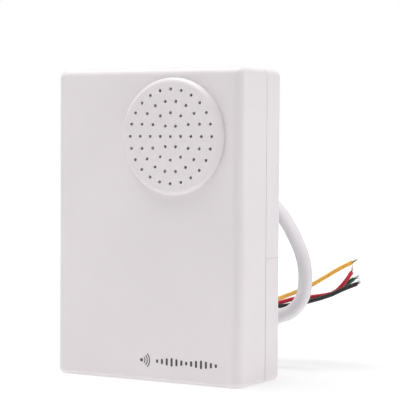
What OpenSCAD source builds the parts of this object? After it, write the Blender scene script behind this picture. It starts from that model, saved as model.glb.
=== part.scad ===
// Wired doorbell chime box: a moulded case with a round grille and a rear door, a small
// loudspeaker, a chime board and a four-core lead that leaves through the back.
// Millimetres, +Z up, front towards -Y, origin under the middle of the box.

/* [Case] */
// Width of the box
case_w = 87.5; // [80:0.5:110]
// Height of the box
case_h = 125; // [115:0.5:150]
// Depth of the box, from the wall to the flat front
case_d = 32.5; // [30:0.5:40]
// Depth of the front cover, from the seam to the flat front
cover_d = 20; // [16:0.5:22]
// How far each side of the cover leans in, from the seam to the flat front
draft = 0.5; // [0.1:0.1:1]
// Wall thickness of the mouldings
wall = 2; // [1.6:0.1:2.4]
// Radius of the outline's upper corners, and of the cover's front edge at the top
corner_r = 3.4; // [2.2:0.1:4]
// Radius of the outline's lower corners, and of the cover's front edge at the bottom
foot_r = 2.2; // [2.2:0.1:4]
// Radius of the cover's front edges at the sides
front_r = 4.5; // [4:0.1:6]
// Radius of the edges round the back
rear_r = 2; // [0.8:0.1:2.2]
// Thickness of the lip that the cover slips over
lip_t = 1.2; // [0.8:0.1:1.6]
// How far the lip reaches into the cover
lip_h = 3.5; // [2:0.1:5]
// Width of the shadow groove along the seam
groove_w = 0.3; // [0.2:0.1:0.8]
// Depth of the shadow groove along the seam
groove_deep = 0.3; // [0.2:0.1:1]

/* [Grille] */
// Diameter of the raised disc
disc_d = 46.4; // [44:0.1:52]
// Height of the disc above the flat front
disc_h = 2.5; // [1.6:0.1:4]
// Radius of the disc's outer edge
disc_r = 2.2; // [0.5:0.1:2.4]
// Distance of the disc's centre to the right of the middle
disc_x = 12.7; // [8:0.1:14]
// Strip of flat front between the disc and the top edge
disc_margin = 4; // [3:0.1:12]
// Diameter of the sound holes
hole_d = 1.3; // [0.8:0.1:2]
// Distance between the rings of sound holes
ring_pitch = 4.65; // [3.6:0.05:4.8]
// Rings of sound holes round the middle one
rings = 4; // [2:1:4]

/* [Rear bay] */
// Height of the lower rear door
door_h = 49.5; // [46:0.5:52]
// Depth of the bay behind the door
bay_d = 14.5; // [10:0.5:18]
// Wall thickness of the bay
bay_t = 1.5; // [1:0.1:2]
// Length of the grip grooves on the door
grip_w = 20; // [12:1:40]
// Number of grip grooves
grip_count = 5; // [3:1:6]

/* [Wall fixing] */
// Distance between the two wall screws
screw_span = 60; // [50:1:66]
// Height of the wall screws above the door
screw_up = 8; // [7:0.5:9]
// Diameter of the wall screw holes
screw_hole_d = 4.2; // [3.2:0.1:5]
// Diameter of the bosses round the wall screw holes
screw_boss_d = 9; // [8:0.5:10]
// Diameter of the keyhole's round entry
keyhole_d = 8; // [7:0.5:9]
// Width of the keyhole's slot
keyhole_slot = 4.2; // [3.2:0.1:5]
// Length of the keyhole's slot above its entry
keyhole_rise = 6; // [5:0.5:7]

/* [Loudspeaker] */
// Diameter of the loudspeaker's rim
speaker_d = 40; // [36:0.5:44]
// Depth of the loudspeaker, from its rim to its back
speaker_depth = 16; // [14:0.5:18]
// Room between the cover and the rim, for the screw heads
speaker_gap = 2.2; // [2:0.1:3]
// Thickness of the basket's steel sheet
sheet_t = 0.8; // [0.5:0.1:1]
// Diameter of the magnet
magnet_d = 25; // [23:0.5:27]
// Thickness of the magnet
magnet_t = 4.5; // [3:0.1:5]
// Thickness of the steel plates on the magnet
pole_plate_t = 1.8; // [1.2:0.1:2]
// Diameter of the voice coil, at the middle of its wall
coil_d = 13; // [11:0.1:14]
// How far the cone moves each way
cone_travel = 0.8; // [0.4:0.1:1]
// Thickness of the cone's paper
paper_t = 0.4; // [0.3:0.05:0.6]

/* [Chime board] */
// Width of the board
board_w = 26; // [25:0.5:28]
// Height of the board
board_h = 42; // [40:0.5:44]
// Thickness of the board
board_t = 1.6; // [1:0.1:2]
// Height of the posts under the board
board_lift = 6; // [4:0.5:8]
// Diameter of the large capacitor
cap_d = 8; // [6.3:0.1:9]
// Height of the large capacitor
cap_h = 12; // [8:0.5:14]

/* [Lead] */
// Diameter of the lead's sheath
cable_d = 6; // [5:0.1:7]
// Diameter of one insulated core
core_d = 1.8; // [1.2:0.05:1.8]
// Diameter of the bare copper at a core's end
copper_d = 0.8; // [0.5:0.05:0.9]
// Wall thickness of the rubber grommet
grommet_t = 2; // [1.4:0.1:3]

/* [Clearances] */
// Gap between mouldings that slip over each other
fit_gap = 0.25; // [0.15:0.05:0.4]
// Gap between faces that meet at a seam
seam_gap = 0.1; // [0.1:0.05:0.4]
// Gap round a screw, wire or coil
free_gap = 0.1; // [0.05:0.05:0.2]

/* [Hidden] */
$fn = 64;

shell_colour = "#E3DEDF";
steel_colour = "#B9BCC0";
copper_colour = "#C9C4BC";
yellow_colour = "#E0A63A";
red_colour = "#B3263A";
black_colour = "#23242C";
green_colour = "#1C6B50";

// Small overlap that joins two shapes of one solid
bite = 0.1;
// How far a cut runs past the face that it opens
past = 1;
// Smallest inside radius of a moulding
least_r = 0.5;

// Planes of the case, measured out from the wall
rear_d = case_d - cover_d;
back_y = (case_d + disc_h) / 2;
bay_front = wall + bay_d + bay_t;
tuck = max(lip_h, bay_front - rear_d);
lip_inset = wall + fit_gap + draft * tuck / cover_d;
disc_z = case_h - disc_margin - disc_d / 2;
recess_r = disc_d / 2 - wall;
recess_top = case_d + disc_h - wall;

// Loudspeaker levels, measured out from the wall
rim_front = case_d - wall - speaker_gap;
rim_back = rim_front - sheet_t;
yoke_back = rim_front - speaker_depth;
magnet_back = yoke_back + pole_plate_t;
plate_back = magnet_back + magnet_t;
basket_back = plate_back + pole_plate_t;
rim_r = speaker_d / 2;
rim_w = 2.4;
rim_inner_r = rim_r - rim_w;
ear_reach = 4;
ear_r = rim_r + ear_reach;
ear_d = 7;
ear_hole_d = 3.2;
post_d = 6;
pilot_d = 2.2;
pilot_deep = 10;
coil_t = 0.4;
coil_in_r = coil_d / 2 - coil_t / 2;
coil_out_r = coil_d / 2 + coil_t / 2;
air_gap = 0.3;
spider_ledge = 0.5;
plate_inset = 0.8;
spider_r = magnet_d / 2 - plate_inset;
spider_level = basket_back + sheet_t + spider_ledge;
cone_neck = spider_level + paper_t + cone_travel;
surround_w = 3.4;
cone_edge_r = rim_inner_r - surround_w;
cone_edge = rim_front - paper_t;
gasket_inset = 0.2;
gasket_room = 0.6;
gasket_r = min(rim_r - gasket_inset, recess_r - gasket_room);
gasket_in_r = rim_inner_r + gasket_inset;

// Keyhole pocket under the top wall, shallow enough to pass behind the board
keyhole_deep = 4.5;
keyhole_wall = 1.2;
keyhole_gap = 0.5;
keyhole_top = 1.4;
keyhole_room = keyhole_d / 2 + keyhole_gap;
pocket_h = keyhole_rise + keyhole_room + keyhole_slot;
pocket_low = case_h - keyhole_top - keyhole_wall - pocket_h;

// Board place: its middle, and the level of its front
board_gap = 1;
board_inset = lip_inset + lip_t + board_gap;
board_x = board_inset + board_w / 2 - case_w / 2;
board_low = door_h + screw_up + screw_boss_d / 2 + board_gap;
board_mid = board_low + board_h / 2;
board_front = wall + board_lift + board_t;
board_hole_in = 2.6;
board_screw_d = 2;

// Places on the board, from its middle
header_t = 6;
header_h = 7;
header_side = 0.8;
header_edge = 4.5;
header_hole = 2;
wire_foot = 0.2;
lead_pitch = 2.5;
cable_header_at = [1, header_edge - board_h / 2];
speaker_header_at = [8.2, -7.5];
chip_at = [-5, 6.5];
cap_at = [7.5, 6.5];
small_cap_at = [4.5, 15];
small_cap_d = 6.3;
small_cap_h = 11;

// Lead: where it leaves the back, and the points of its route
exit_side = 5.55;
exit_up = 10;
exit_x = board_x + board_w / 2 + exit_side;
exit_z = door_h + exit_up;
inner_end = 11.25;
grommet_d = cable_d + 2 * grommet_t;
grommet_lip = 1.2;
grommet_lip_w = 1.5;
sheath_route = [
  [exit_x, back_y - inner_end, exit_z], [exit_x, 14.2, exit_z], [exit_x, 23.2, exit_z],
  [exit_x, 32.2, exit_z - 1.5], [exit_x, 39.7, exit_z - 6.5],
  [exit_x + 0.5, 44.7, exit_z - 14],
  [-6.5, 46.7, 36], [-2.4, 47.2, 26.5], [4.6, 47.2, 20], [13.6, 47.2, 18],
  [22, 47.2, 19.5], [28.9, 47.2, 22.1], [33.9, 47.7, 24.2], [37.9, 48.2, 28.6],
  [39.4, 49.2, 33.8], [38.8, 50.7, 41.3], [36.4, 52.2, 48.5], [31.2, 54.2, 57],
  [24.6, 55.7, 65.3], [16.1, 56.7, 72.5], [6.6, 57.2, 76], [-3.5, 58.2, 74.5],
  [-12.5, 59.2, 68], [-17.5, 59.7, 58.5], [-18.6, 60.2, 48], [-15.6, 61.2, 37.9],
  [-8.5, 61.7, 29.9], [1, 62.2, 25], [11.5, 62.7, 23.5]
];
yellow_route = [
  [11.5, 61.77, 24.43], [16.3, 61.8, 25.8], [20.9, 62.2, 27.9], [29.1, 62.7, 31.2],
  [36.6, 62.7, 34.7], [42.6, 62.7, 38.2], [49.1, 62.7, 42], [55.2, 62.7, 45.1]
];
red_route = [
  [11.5, 63.63, 24.43], [15.6, 64.2, 24.7], [19.5, 64.9, 25.7], [26.8, 65.4, 27.8],
  [34.8, 65.4, 29], [42.8, 65.4, 30.5], [46.8, 65.4, 32.3], [51.1, 65.4, 36.8],
  [53.8, 65.4, 40.7]
];
black_route = [
  [11.5, 61.77, 22.57], [16.5, 62.4, 23.6], [20.6, 63, 24.4], [24.5, 63.4, 25],
  [34.5, 63.4, 27.2], [44.4, 63.4, 30.4], [50.9, 63.4, 33.4], [57, 63.4, 35.9]
];
green_route = [
  [11.5, 63.63, 22.57], [14.9, 64.6, 21.3], [19.5, 66.2, 22], [26.4, 67.3, 24.6],
  [33.8, 67.3, 27.1], [40.4, 67.3, 29.2], [47.4, 67.3, 33], [53.9, 67.3, 37.6]
];
copper_routes = [
  [[55.2, 62.7, 45.1], [58, 62.7, 46.6]],
  [[53.8, 65.4, 40.7], [54.2, 65.4, 43.9]],
  [[57, 63.4, 35.9], [59.3, 63.4, 37.6]],
  [[53.9, 67.3, 37.6], [57.4, 67.3, 39.1]]
];

// Points of a smooth curve through a route, with a few steps between its points
function at(p, i) = p[max(0, min(i, len(p) - 1))];
function between(a, b, c, d, t) =
  b + t * (c - a) / 2 + t * t * (a - 2.5 * b + 2 * c - d / 2)
  + t * t * t * (1.5 * (b - c) + (d - a) / 2);
function smooth(p, steps) = concat(
  [for (i = [0:len(p) - 2], k = [0:steps - 1])
    between(at(p, i - 1), p[i], p[i + 1], at(p, i + 2), k / steps)],
  [p[len(p) - 1]]
);

// Points of a short wire between two places: straight at both ends, one bow between
function bow(a, leave, b, meet, steps) = [
  for (k = [0:steps])
    let (t = k / steps, u = 1 - t)
      u * u * u * a + 3 * u * u * t * (a + leave) + 3 * u * t * t * (b + meet) + t * t * t * b
];
function wire(a, leave, b, meet, straight = 2.4, steps = 10) = concat(
  [a],
  bow(a + straight * unit(leave), leave, b + straight * unit(meet), meet, steps),
  [b]
);

// Cross directions carried along a route without twist, from a side that no route starts along
first_side = [0.13, 0.31, 0.94];
function unit(v) = v / norm(v);
function along(p, i) = unit(at(p, i + 1) - at(p, i - 1));
function square_to(v, t) = unit(v - (v * t) * t);
function sides_of(p, i, v) =
  let (n = square_to(v, along(p, i)))
    i == len(p) - 1 ? [n] : concat([n], sides_of(p, i + 1, n));

// Solid tube along a list of points
module tube(p, d, sides) {
  n = sides_of(p, 0, first_side);
  last = len(p) - 1;
  corners = [
    for (i = [0:last], k = [0:sides - 1])
      p[i] + d / 2 * (cos(360 * k / sides) * n[i] + sin(360 * k / sides) * cross(along(p, i), n[i]))
  ];
  ends = [p[0], p[last]];
  walls = [
    for (i = [0:last - 1], k = [0:sides - 1], half = [0, 1])
      let (m = (k + 1) % sides, a = i * sides, b = a + sides)
        half == 0 ? [a + k, b + k, a + m] : [a + m, b + k, b + m]
  ];
  first_cap = [for (k = [0:sides - 1]) [len(corners), k, (k + 1) % sides]];
  last_cap = [
    for (k = [0:sides - 1])
      [len(corners) + 1, last * sides + (k + 1) % sides, last * sides + k]
  ];
  polyhedron(concat(corners, ends), concat(walls, first_cap, last_cap));
}

// Least gap of a tube to its own other turns, printed when the model builds
function own_gap(p, d, apart) = min([
  for (i = [0:len(p) - 1 - apart], j = [i + apart:len(p) - 1]) norm(p[i] - p[j]) - d
]);
sheath_points = smooth(sheath_route, 2);
echo(sheath_own_gap = own_gap(sheath_points, cable_d, 8));

// Case frame: x to the right, y up, z out from the wall
module on_wall() {
  translate([0, back_y, 0])
    rotate([90, 0, 0])
      children();
}

// Outline of the case drawn in by a distance
module outline(inset) {
  w = case_w - 2 * inset;
  h = case_h / 2 - inset;
  translate([0, case_h / 2])
    for (half = [[0, corner_r], [1, foot_r]])
      mirror([0, half[0]]) {
        r = max(half[1] - inset, least_r);
        translate([-w / 2, 0])
          square([w, h - r]);
        translate([r - w / 2, 0])
          square([w - 2 * r, h]);
        for (x = [r - w / 2, w / 2 - r])
          translate([x, h - r])
            circle(r);
      }
}

// Frame between two inset outlines
module frame_between(outer, inner) {
  difference() {
    outline(outer);
    outline(inner);
  }
}

// Edge section of a block: upright side, rounded over at the top, reaching into the block by a bite
module edge_section(d, rc, re, into = 0) {
  translate([-into, 0]) {
    square([rc + into, d - re]);
    if (rc + into > re)
      square([rc + into - re, d]);
  }
  translate([rc - re, d - re])
    intersection() {
      circle(re);
      square(re);
    }
}

// Upper half of a block with rounded corners and a rounded top edge, on its middle line
module soft_half(w, h, d, rc, re) {
  translate([rc - w / 2, 0, 0])
    cube([w - 2 * rc, h - rc, d]);
  translate([0, h - rc, 0])
    rotate([90, 0, 90])
      linear_extrude(w - 2 * rc, center = true)
        edge_section(d, rc, re, bite);
  for (s = [0, 1])
    mirror([s, 0, 0])
      translate([w / 2 - rc, h - rc, 0]) {
        rotate([90, 0, 0])
          linear_extrude(h - rc)
            edge_section(d, rc, re, bite);
        rotate_extrude(angle = 90)
          edge_section(d, rc, re);
      }
}

// Block over an inset outline, with round corners and a rounded top edge
module soft_block(inset, d, edge_r) {
  translate([0, case_h / 2, 0])
    for (half = [[0, corner_r], [1, foot_r]])
      mirror([0, half[0], 0]) {
        rc = max(half[1] - inset, least_r);
        soft_half(case_w - 2 * inset, case_h / 2 - inset, d, rc, min(max(edge_r - inset, least_r), rc));
      }
}

// Half of the cover's block, from the middle of its height to a rounded rim: x to the right,
// y out from the wall, z towards the rim
module cover_half(inset, low, rim) {
  h = case_h / 2 - inset;
  r = max(front_r - inset, least_r);
  edge = min(max(rim - inset, least_r), r);
  lean = atan2(draft, cover_d);
  mid_y = case_d - inset - r;
  mid_x = case_w / 2 - inset - draft * (mid_y - rear_d) / cover_d - r / cos(lean);
  spread = (mid_y - low) * tan(lean);
  difference() {
    union() {
      linear_extrude(h)
        polygon([[-mid_x - spread, low], [mid_x + spread, low], [mid_x, mid_y], [-mid_x, mid_y]]);
      translate([-mid_x, mid_y, 0])
        rotate([90, 0, 90])
          linear_extrude(2 * mid_x)
            edge_section(h, r, edge, bite);
      for (s = [0, 1])
        mirror([s, 0, 0])
          translate([mid_x, mid_y, 0])
            rotate([0, 0, lean]) {
              rotate([90, 0, 0])
                linear_extrude(cover_d)
                  edge_section(h, r, edge, bite);
              rotate_extrude(angle = 90 - lean)
                edge_section(h, r, edge);
            }
    }
    translate([-case_w, low - cover_d, -past])
      cube([2 * case_w, cover_d, case_h]);
  }
}

// Block that the cover, or the room inside it, is shaped from
module cover_block(inset, low) {
  translate([0, case_h / 2, 0])
    for (half = [[0, foot_r], [1, corner_r]])
      mirror([0, half[0], 0])
        rotate([90, 0, 0])
          cover_half(inset, low, half[1]);
}

// Rear half of the case as a shell, open towards the front
module rear_shell() {
  difference() {
    translate([0, 0, rear_d])
      mirror([0, 0, 1])
        soft_block(0, rear_d, rear_r);
    translate([0, 0, rear_d + past])
      mirror([0, 0, 1])
        soft_block(wall, rear_d + past - wall, rear_r);
  }
}

// Everything above a level
module above(level) {
  translate([-case_w, level, -case_d])
    cube([2 * case_w, 2 * case_h, 3 * case_d]);
}

// Ring round the z axis
module ring(r_out, r_in, h) {
  difference() {
    cylinder(r = r_out, h = h);
    translate([0, 0, -past])
      cylinder(r = r_in, h = h + 2 * past);
  }
}

module disc_section() {
  translate([0, -wall / 2]) {
    square([disc_d / 2, disc_h - disc_r + wall / 2]);
    square([disc_d / 2 - disc_r, disc_h + wall / 2]);
  }
  translate([disc_d / 2 - disc_r, disc_h - disc_r])
    intersection() {
      circle(disc_r);
      square(disc_r);
    }
}

module sound_holes() {
  cylinder(d = hole_d, h = 3 * wall, $fn = 24);
  for (k = [1:rings], i = [0:6 * k - 1])
    rotate([0, 0, 60 * i / k])
      translate([k * ring_pitch, 0, 0])
        cylinder(d = hole_d, h = 3 * wall, $fn = 24);
}

module front_cover() {
  rib_t = 1.2;
  rib_h = 3;
  rib_low = 12;
  rib_over = 14;
  rib_top = door_h + rib_over;
  color(shell_colour)
    on_wall()
      difference() {
        union() {
          difference() {
            cover_block(0, rear_d);
            cover_block(wall, rear_d - past);
          }
          translate([disc_x, disc_z, case_d])
            rotate_extrude()
              disc_section();
          // Stiffening ribs behind the plain lower half of the front
          for (x = [-1, 0, 1] * case_w / 4)
            translate([x - rib_t / 2, rib_low, case_d - wall - rib_h])
              cube([rib_t, rib_top - rib_low, rib_h + bite]);
        }
        translate([disc_x, disc_z, case_d - 2 * wall])
          cylinder(r = recess_r, h = recess_top - case_d + 2 * wall);
        translate([disc_x, disc_z, recess_top - wall])
          sound_holes();
        // Gap and shadow groove along the seam
        translate([0, 0, rear_d - past])
          linear_extrude(past + seam_gap)
            outline(-past);
        translate([0, 0, rear_d])
          linear_extrude(groove_w)
            frame_between(-past, groove_deep);
      }
}

module keyhole(h) {
  cylinder(d = keyhole_d, h = h);
  translate([-keyhole_slot / 2, 0, 0])
    cube([keyhole_slot, keyhole_rise, h]);
  translate([0, keyhole_rise, 0])
    cylinder(d = keyhole_slot, h = h);
}

module rear_housing() {
  door_line = door_h + seam_gap / 2;
  bay_top = door_line + bay_t;
  bay_side = lip_inset + bay_t;
  lip_foot = 2;
  pocket_t = 2 * keyhole_wall;
  screw_at = [for (s = [-1, 1]) [s * screw_span / 2, door_h + screw_up]];
  boss_h = 2;
  board_post_d = 5;
  half_w = case_w / 2;
  rib_run = 8;
  rib_proud = 0.15;
  rib_in = 0.8;
  color(shell_colour)
    on_wall()
      difference() {
        union() {
          intersection() {
            union() {
              rear_shell();
              // Foot of the lip, grown from the inside of the walls
              translate([0, 0, rear_d - lip_foot])
                linear_extrude(lip_foot)
                  frame_between(wall - bite, lip_inset + lip_t);
            }
            above(door_line);
          }
          // Lip that the cover slips over
          translate([0, 0, rear_d - bite])
            linear_extrude(lip_h + bite)
              frame_between(lip_inset, lip_inset + lip_t);
          // Ceiling of the bay, and the bay itself
          translate([wall - bite - half_w, door_line, 0])
            cube([case_w - 2 * (wall - bite), bay_t, rear_d]);
          difference() {
            translate([0, 0, lip_inset])
              linear_extrude(bay_front - lip_inset)
                difference() {
                  outline(lip_inset);
                  translate([-case_w, bay_top])
                    square([2 * case_w, case_h]);
                }
            translate([bay_side - half_w, bay_side, 0])
              cube([case_w - 2 * bay_side, door_line - bay_side, bay_front - bay_t]);
          }
          // Crush ribs that hold the cover and the door by friction
          for (s = [-1, 1], y = [case_h / 5, case_h * 3 / 4])
            translate([s * (half_w - lip_inset) - (s > 0 ? bite : rib_proud), y, rear_d + rib_in])
              cube([bite + rib_proud, rib_run, lip_h - 2 * rib_in]);
          // Posts for the loudspeaker's ears
          translate([disc_x, disc_z, wall - bite])
            ears() {
              cylinder(d = post_d, h = rim_back - wall + bite);
              cylinder(d = post_d + wall, h = board_lift);
            }
          // Posts for the board
          translate([board_x, board_mid, wall - bite])
            board_corners()
              cylinder(d = board_post_d, h = board_lift + bite);
          for (p = screw_at)
            translate([p.x, p.y, wall - bite])
              cylinder(d = screw_boss_d, h = boss_h + bite);
          // Closed pocket round the keyhole
          translate([board_x - keyhole_room - keyhole_wall, pocket_low - keyhole_wall, wall - bite])
            cube([2 * keyhole_room + pocket_t, pocket_h + pocket_t, keyhole_deep + keyhole_wall + bite]);
        }
        translate([disc_x, disc_z, rim_back - pilot_deep])
          ears()
            cylinder(d = pilot_d, h = pilot_deep + past);
        translate([board_x, board_mid, wall])
          board_corners()
            cylinder(d = board_screw_d + 2 * free_gap, h = board_lift + past);
        for (p = screw_at)
          translate([p.x, p.y, -past])
            cylinder(d = screw_hole_d, h = wall + boss_h + 2 * past);
        translate([board_x, pocket_low + keyhole_room, -past])
          keyhole(wall + 2 * past);
        translate([board_x - keyhole_room, pocket_low, wall])
          cube([2 * keyhole_room, pocket_h, keyhole_deep]);
        translate([exit_x, exit_z, -past])
          cylinder(d = grommet_d + 2 * free_gap, h = wall + 2 * past);
      }
}

module rear_door() {
  grip_pitch = 2;
  grip_line = 0.9;
  grip_deep = 0.6;
  grip_drop = 6;
  grip_top = door_h - grip_drop;
  color(shell_colour)
    on_wall()
      difference() {
        rear_shell();
        above(door_h - seam_gap / 2);
        translate([-case_w, -past, rear_d - seam_gap])
          cube([2 * case_w, case_h, case_d]);
        for (i = [0:grip_count - 1])
          translate([-grip_w / 2, grip_top - i * grip_pitch, -past])
            cube([grip_w, grip_line, past + grip_deep]);
      }
}

module cable_grommet() {
  color("#4A4A4E")
    on_wall()
      translate([exit_x, exit_z, 0])
        difference() {
          union() {
            cylinder(d = grommet_d, h = wall + bite);
            translate([0, 0, wall])
              cylinder(d = grommet_d + 2 * grommet_lip_w, h = grommet_lip);
          }
          translate([0, 0, -past])
            cylinder(d = cable_d + 2 * free_gap, h = wall + grommet_lip + 2 * past);
        }
}

module cable_tie() {
  tie_t = 1.1;
  tie_w = 2.5;
  tie_up = 0.5;
  tie_r = cable_d / 2 + free_gap;
  head = [4.4, 4.2, 3.5];
  color("#E8E6E0")
    on_wall()
      translate([exit_x, exit_z, wall + grommet_lip + tie_up])
        difference() {
          union() {
            cylinder(r = tie_r + tie_t, h = tie_w);
            translate([tie_r, -head.y / 2, 0])
              cube(head);
          }
          translate([0, 0, -past])
            cylinder(r = tie_r, h = head.z + 2 * past);
        }
}

// Loudspeaker frame: its axis through the grille, levels from the wall
module at_speaker() {
  on_wall()
    translate([disc_x, disc_z, 0])
      children();
}

// The four ears round the loudspeaker's axis
module ears() {
  for (a = [45:90:315])
    rotate([0, 0, a])
      translate([ear_r, 0, 0])
        children();
}

module speaker_basket() {
  bore_room = 1.6;
  bore_r = coil_out_r + bore_room;
  seat_r = magnet_d / 2;
  seat_bend = 0.4;
  ledge_in = 0.6;
  ledge_w = 1.6;
  window_w = 10;
  window_low = 2;
  window_top = 0.6;
  color(steel_colour)
    at_speaker()
      difference() {
        union() {
          rotate_extrude()
            polygon([
              [bore_r, basket_back], [seat_r, basket_back], [rim_inner_r + sheet_t, rim_back],
              [rim_r, rim_back], [rim_r, rim_front], [rim_inner_r, rim_front],
              [seat_r - seat_bend, basket_back + sheet_t], [bore_r, basket_back + sheet_t]
            ]);
          // Ledge that carries the spider
          translate([0, 0, basket_back + sheet_t - bite])
            ring(seat_r - ledge_in, seat_r - ledge_in - ledge_w, spider_ledge + bite);
          translate([0, 0, rim_back])
            ears() {
              translate([-ear_reach - rim_w / 2, -ear_d / 2, 0])
                cube([ear_reach + rim_w / 2, ear_d, sheet_t]);
              cylinder(d = ear_d, h = sheet_t);
            }
        }
        for (a = [0:90:270])
          rotate([0, 0, a])
            translate([seat_r + sheet_t, -window_w / 2, basket_back + window_low])
              cube([rim_r, window_w, rim_back - basket_back - window_low - window_top]);
        translate([0, 0, rim_back - past])
          ears()
            cylinder(d = ear_hole_d, h = sheet_t + 2 * past);
      }
}

module speaker_yoke() {
  color(steel_colour)
    at_speaker()
      translate([0, 0, yoke_back]) {
        cylinder(r = magnet_d / 2 - plate_inset, h = pole_plate_t);
        cylinder(r = coil_in_r - air_gap, h = basket_back - yoke_back);
      }
}

module speaker_magnet() {
  pole_room = 2;
  color("#3A3A3D")
    at_speaker()
      translate([0, 0, magnet_back])
        ring(magnet_d / 2, coil_out_r + pole_room, magnet_t);
}

module speaker_top_plate() {
  color(steel_colour)
    at_speaker()
      translate([0, 0, plate_back])
        ring(magnet_d / 2 - plate_inset, coil_out_r + air_gap, pole_plate_t);
}

// Round shell between two radii, rising from one level to another
module sheet_cone(r0, z0, r1, z1, t) {
  rotate_extrude()
    polygon([[r0, z0], [r1, z1], [r1, z1 + t], [r0, z0 + t]]);
}

module speaker_spider() {
  waves = 3;
  wave_h = 0.5;
  inner = coil_out_r + free_gap;
  flat = 1.4;
  step = (spider_r - flat - inner) / (2 * waves);
  low = [for (k = [0:2 * waves]) [inner + k * step, spider_level + (k % 2 == 0 ? 0 : wave_h)]];
  color("#C8A24A")
    at_speaker()
      rotate_extrude()
        polygon(concat(
          low,
          [[spider_r, spider_level], [spider_r, spider_level + paper_t]],
          [for (k = [2 * waves:-1:0]) low[k] + [0, paper_t]]
        ));
}

module speaker_cone() {
  color("#2C2B2A")
    at_speaker()
      sheet_cone(coil_out_r + free_gap, cone_neck, cone_edge_r, cone_edge, paper_t);
}

module cone_surround() {
  glue = 0.5;
  roll_gap = 0.3;
  roll_r = surround_w / 2 - roll_gap;
  roll_mid = (rim_inner_r + cone_edge_r) / 2;
  lip_outer = gasket_in_r - free_gap / 2;
  color("#1E1E20")
    at_speaker()
      translate([0, 0, rim_front])
        rotate_extrude() {
          translate([roll_mid, 0])
            difference() {
              circle(roll_r);
              circle(roll_r - paper_t);
              translate([-roll_r - past, -roll_r - past])
                square([2 * (roll_r + past), roll_r + past]);
            }
          translate([cone_edge_r - glue, 0])
            square([roll_mid - roll_r + paper_t - cone_edge_r + glue, paper_t]);
          translate([roll_mid + roll_r - paper_t, 0])
            square([lip_outer - roll_mid - roll_r + paper_t, paper_t]);
        }
}

module dust_cap() {
  seat = 1.4;
  rise = 2.2;
  glue_gap = 0.02;
  cap_r = coil_out_r + seat;
  ball_r = (cap_r * cap_r + rise * rise) / (2 * rise);
  slope = (cone_edge - cone_neck) / (cone_edge_r - coil_out_r - free_gap);
  base = cone_neck + paper_t + slope * (seat - free_gap) + glue_gap;
  color("#2C2B2A")
    at_speaker()
      translate([0, 0, base + rise - ball_r])
        difference() {
          sphere(ball_r);
          sphere(ball_r - paper_t);
          translate([0, 0, -ball_r])
            cylinder(r = 2 * ball_r, h = 2 * ball_r - rise);
        }
}

module voice_coil() {
  reach = 2.6;
  color("#B87333")
    at_speaker()
      translate([0, 0, plate_back - reach])
        ring(coil_out_r, coil_in_r, cone_neck + paper_t - plate_back + reach);
}

module speaker_gasket() {
  press_gap = 0.3;
  color("#303032")
    at_speaker()
      translate([0, 0, rim_front])
        ring(gasket_r, gasket_in_r, recess_top - rim_front - press_gap);
}

// Fibre strip under the rim that carries the two solder tags
terminal = [9, 6, 0.8];
terminal_in = 1.6;
tag = [1.8, 3.4, 0.4];
tag_in = 0.6;
module at_terminal() {
  at_speaker()
    translate([0, terminal_in - rim_r, rim_back])
      children();
}

module speaker_terminal() {
  color("#8A5A33")
    at_terminal()
      translate([-terminal.x / 2, -terminal.y, -terminal.z])
        cube(terminal);
}

module speaker_tags() {
  color(copper_colour)
    at_terminal()
      for (s = [-1, 1])
        translate([s * lead_pitch - tag.x / 2, tag_in - terminal.y - tag.y / 2, -terminal.z - tag.z])
          cube(tag);
}

// Pan-head screw, its head's underside at z = 0
module screw(d, length, head_d, head_h) {
  slot = 0.6;
  translate([0, 0, -length])
    cylinder(d = d, h = length + bite);
  difference() {
    cylinder(d = head_d, h = head_h);
    for (a = [0, 90])
      rotate([0, 0, a])
        translate([-head_d / 3, -slot / 2, head_h - slot])
          cube([2 * head_d / 3, slot, slot + past]);
  }
}

module speaker_screws() {
  length = 8;
  head_d = 5;
  head_h = 1.5;
  color(steel_colour)
    at_speaker()
      translate([0, 0, rim_front])
        ears()
          screw(pilot_d - 2 * free_gap, length, head_d, head_h);
}

// Board frame: middle of the board, on its front face
module at_board() {
  on_wall()
    translate([board_x, board_mid, board_front])
      children();
}

module board_corners() {
  for (x = [-1, 1], y = [-1, 1])
    translate([x * (board_w / 2 - board_hole_in), y * (board_h / 2 - board_hole_in), 0])
      children();
}

module circuit_board() {
  hole_room = 0.3;
  color("#2E6B3A")
    at_board()
      difference() {
        translate([-board_w / 2, -board_h / 2, -board_t])
          cube([board_w, board_h, board_t]);
        board_corners()
          translate([0, 0, -board_t - past])
            cylinder(d = board_screw_d + 2 * hole_room, h = board_t + 2 * past);
      }
}

module board_screws() {
  grip = 4;
  head_d = 3.8;
  head_h = 1.4;
  color(steel_colour)
    at_board()
      board_corners()
        screw(board_screw_d, board_t + grip, head_d, head_h);
}

// Chime chip in a dual in-line body, across the middle of the board
chip = [9.6, 6.4, 3.4];
chip_lift = 0.6;
pin_pitch = 2.54;
module at_chip() {
  at_board()
    translate([chip_at.x, chip_at.y, 0])
      children();
}

module chime_chip() {
  notch_r = 0.9;
  notch_deep = 0.4;
  color("#26262A")
    at_chip()
      difference() {
        translate([-chip.x / 2, -chip.y / 2, chip_lift])
          cube(chip);
        translate([-chip.x / 2, 0, chip_lift + chip.z - notch_deep])
          cylinder(r = notch_r, h = notch_deep + past);
      }
}

module chip_pins() {
  pin = [0.5, 0.3, 2.2];
  color(copper_colour)
    at_chip()
      for (i = [-1.5:1:1.5], s = [-1, 1])
        translate([i * pin_pitch - pin.x / 2, s * (chip.y / 2 + pin.y / 2) - pin.y / 2, 0])
          cube(pin);
}

module capacitors() {
  color("#2F3B5C")
    at_board() {
      translate([cap_at.x, cap_at.y, 0])
        cylinder(d = cap_d, h = cap_h);
      translate([small_cap_at.x, small_cap_at.y, 0])
        cylinder(d = small_cap_d, h = small_cap_h);
    }
}

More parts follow.
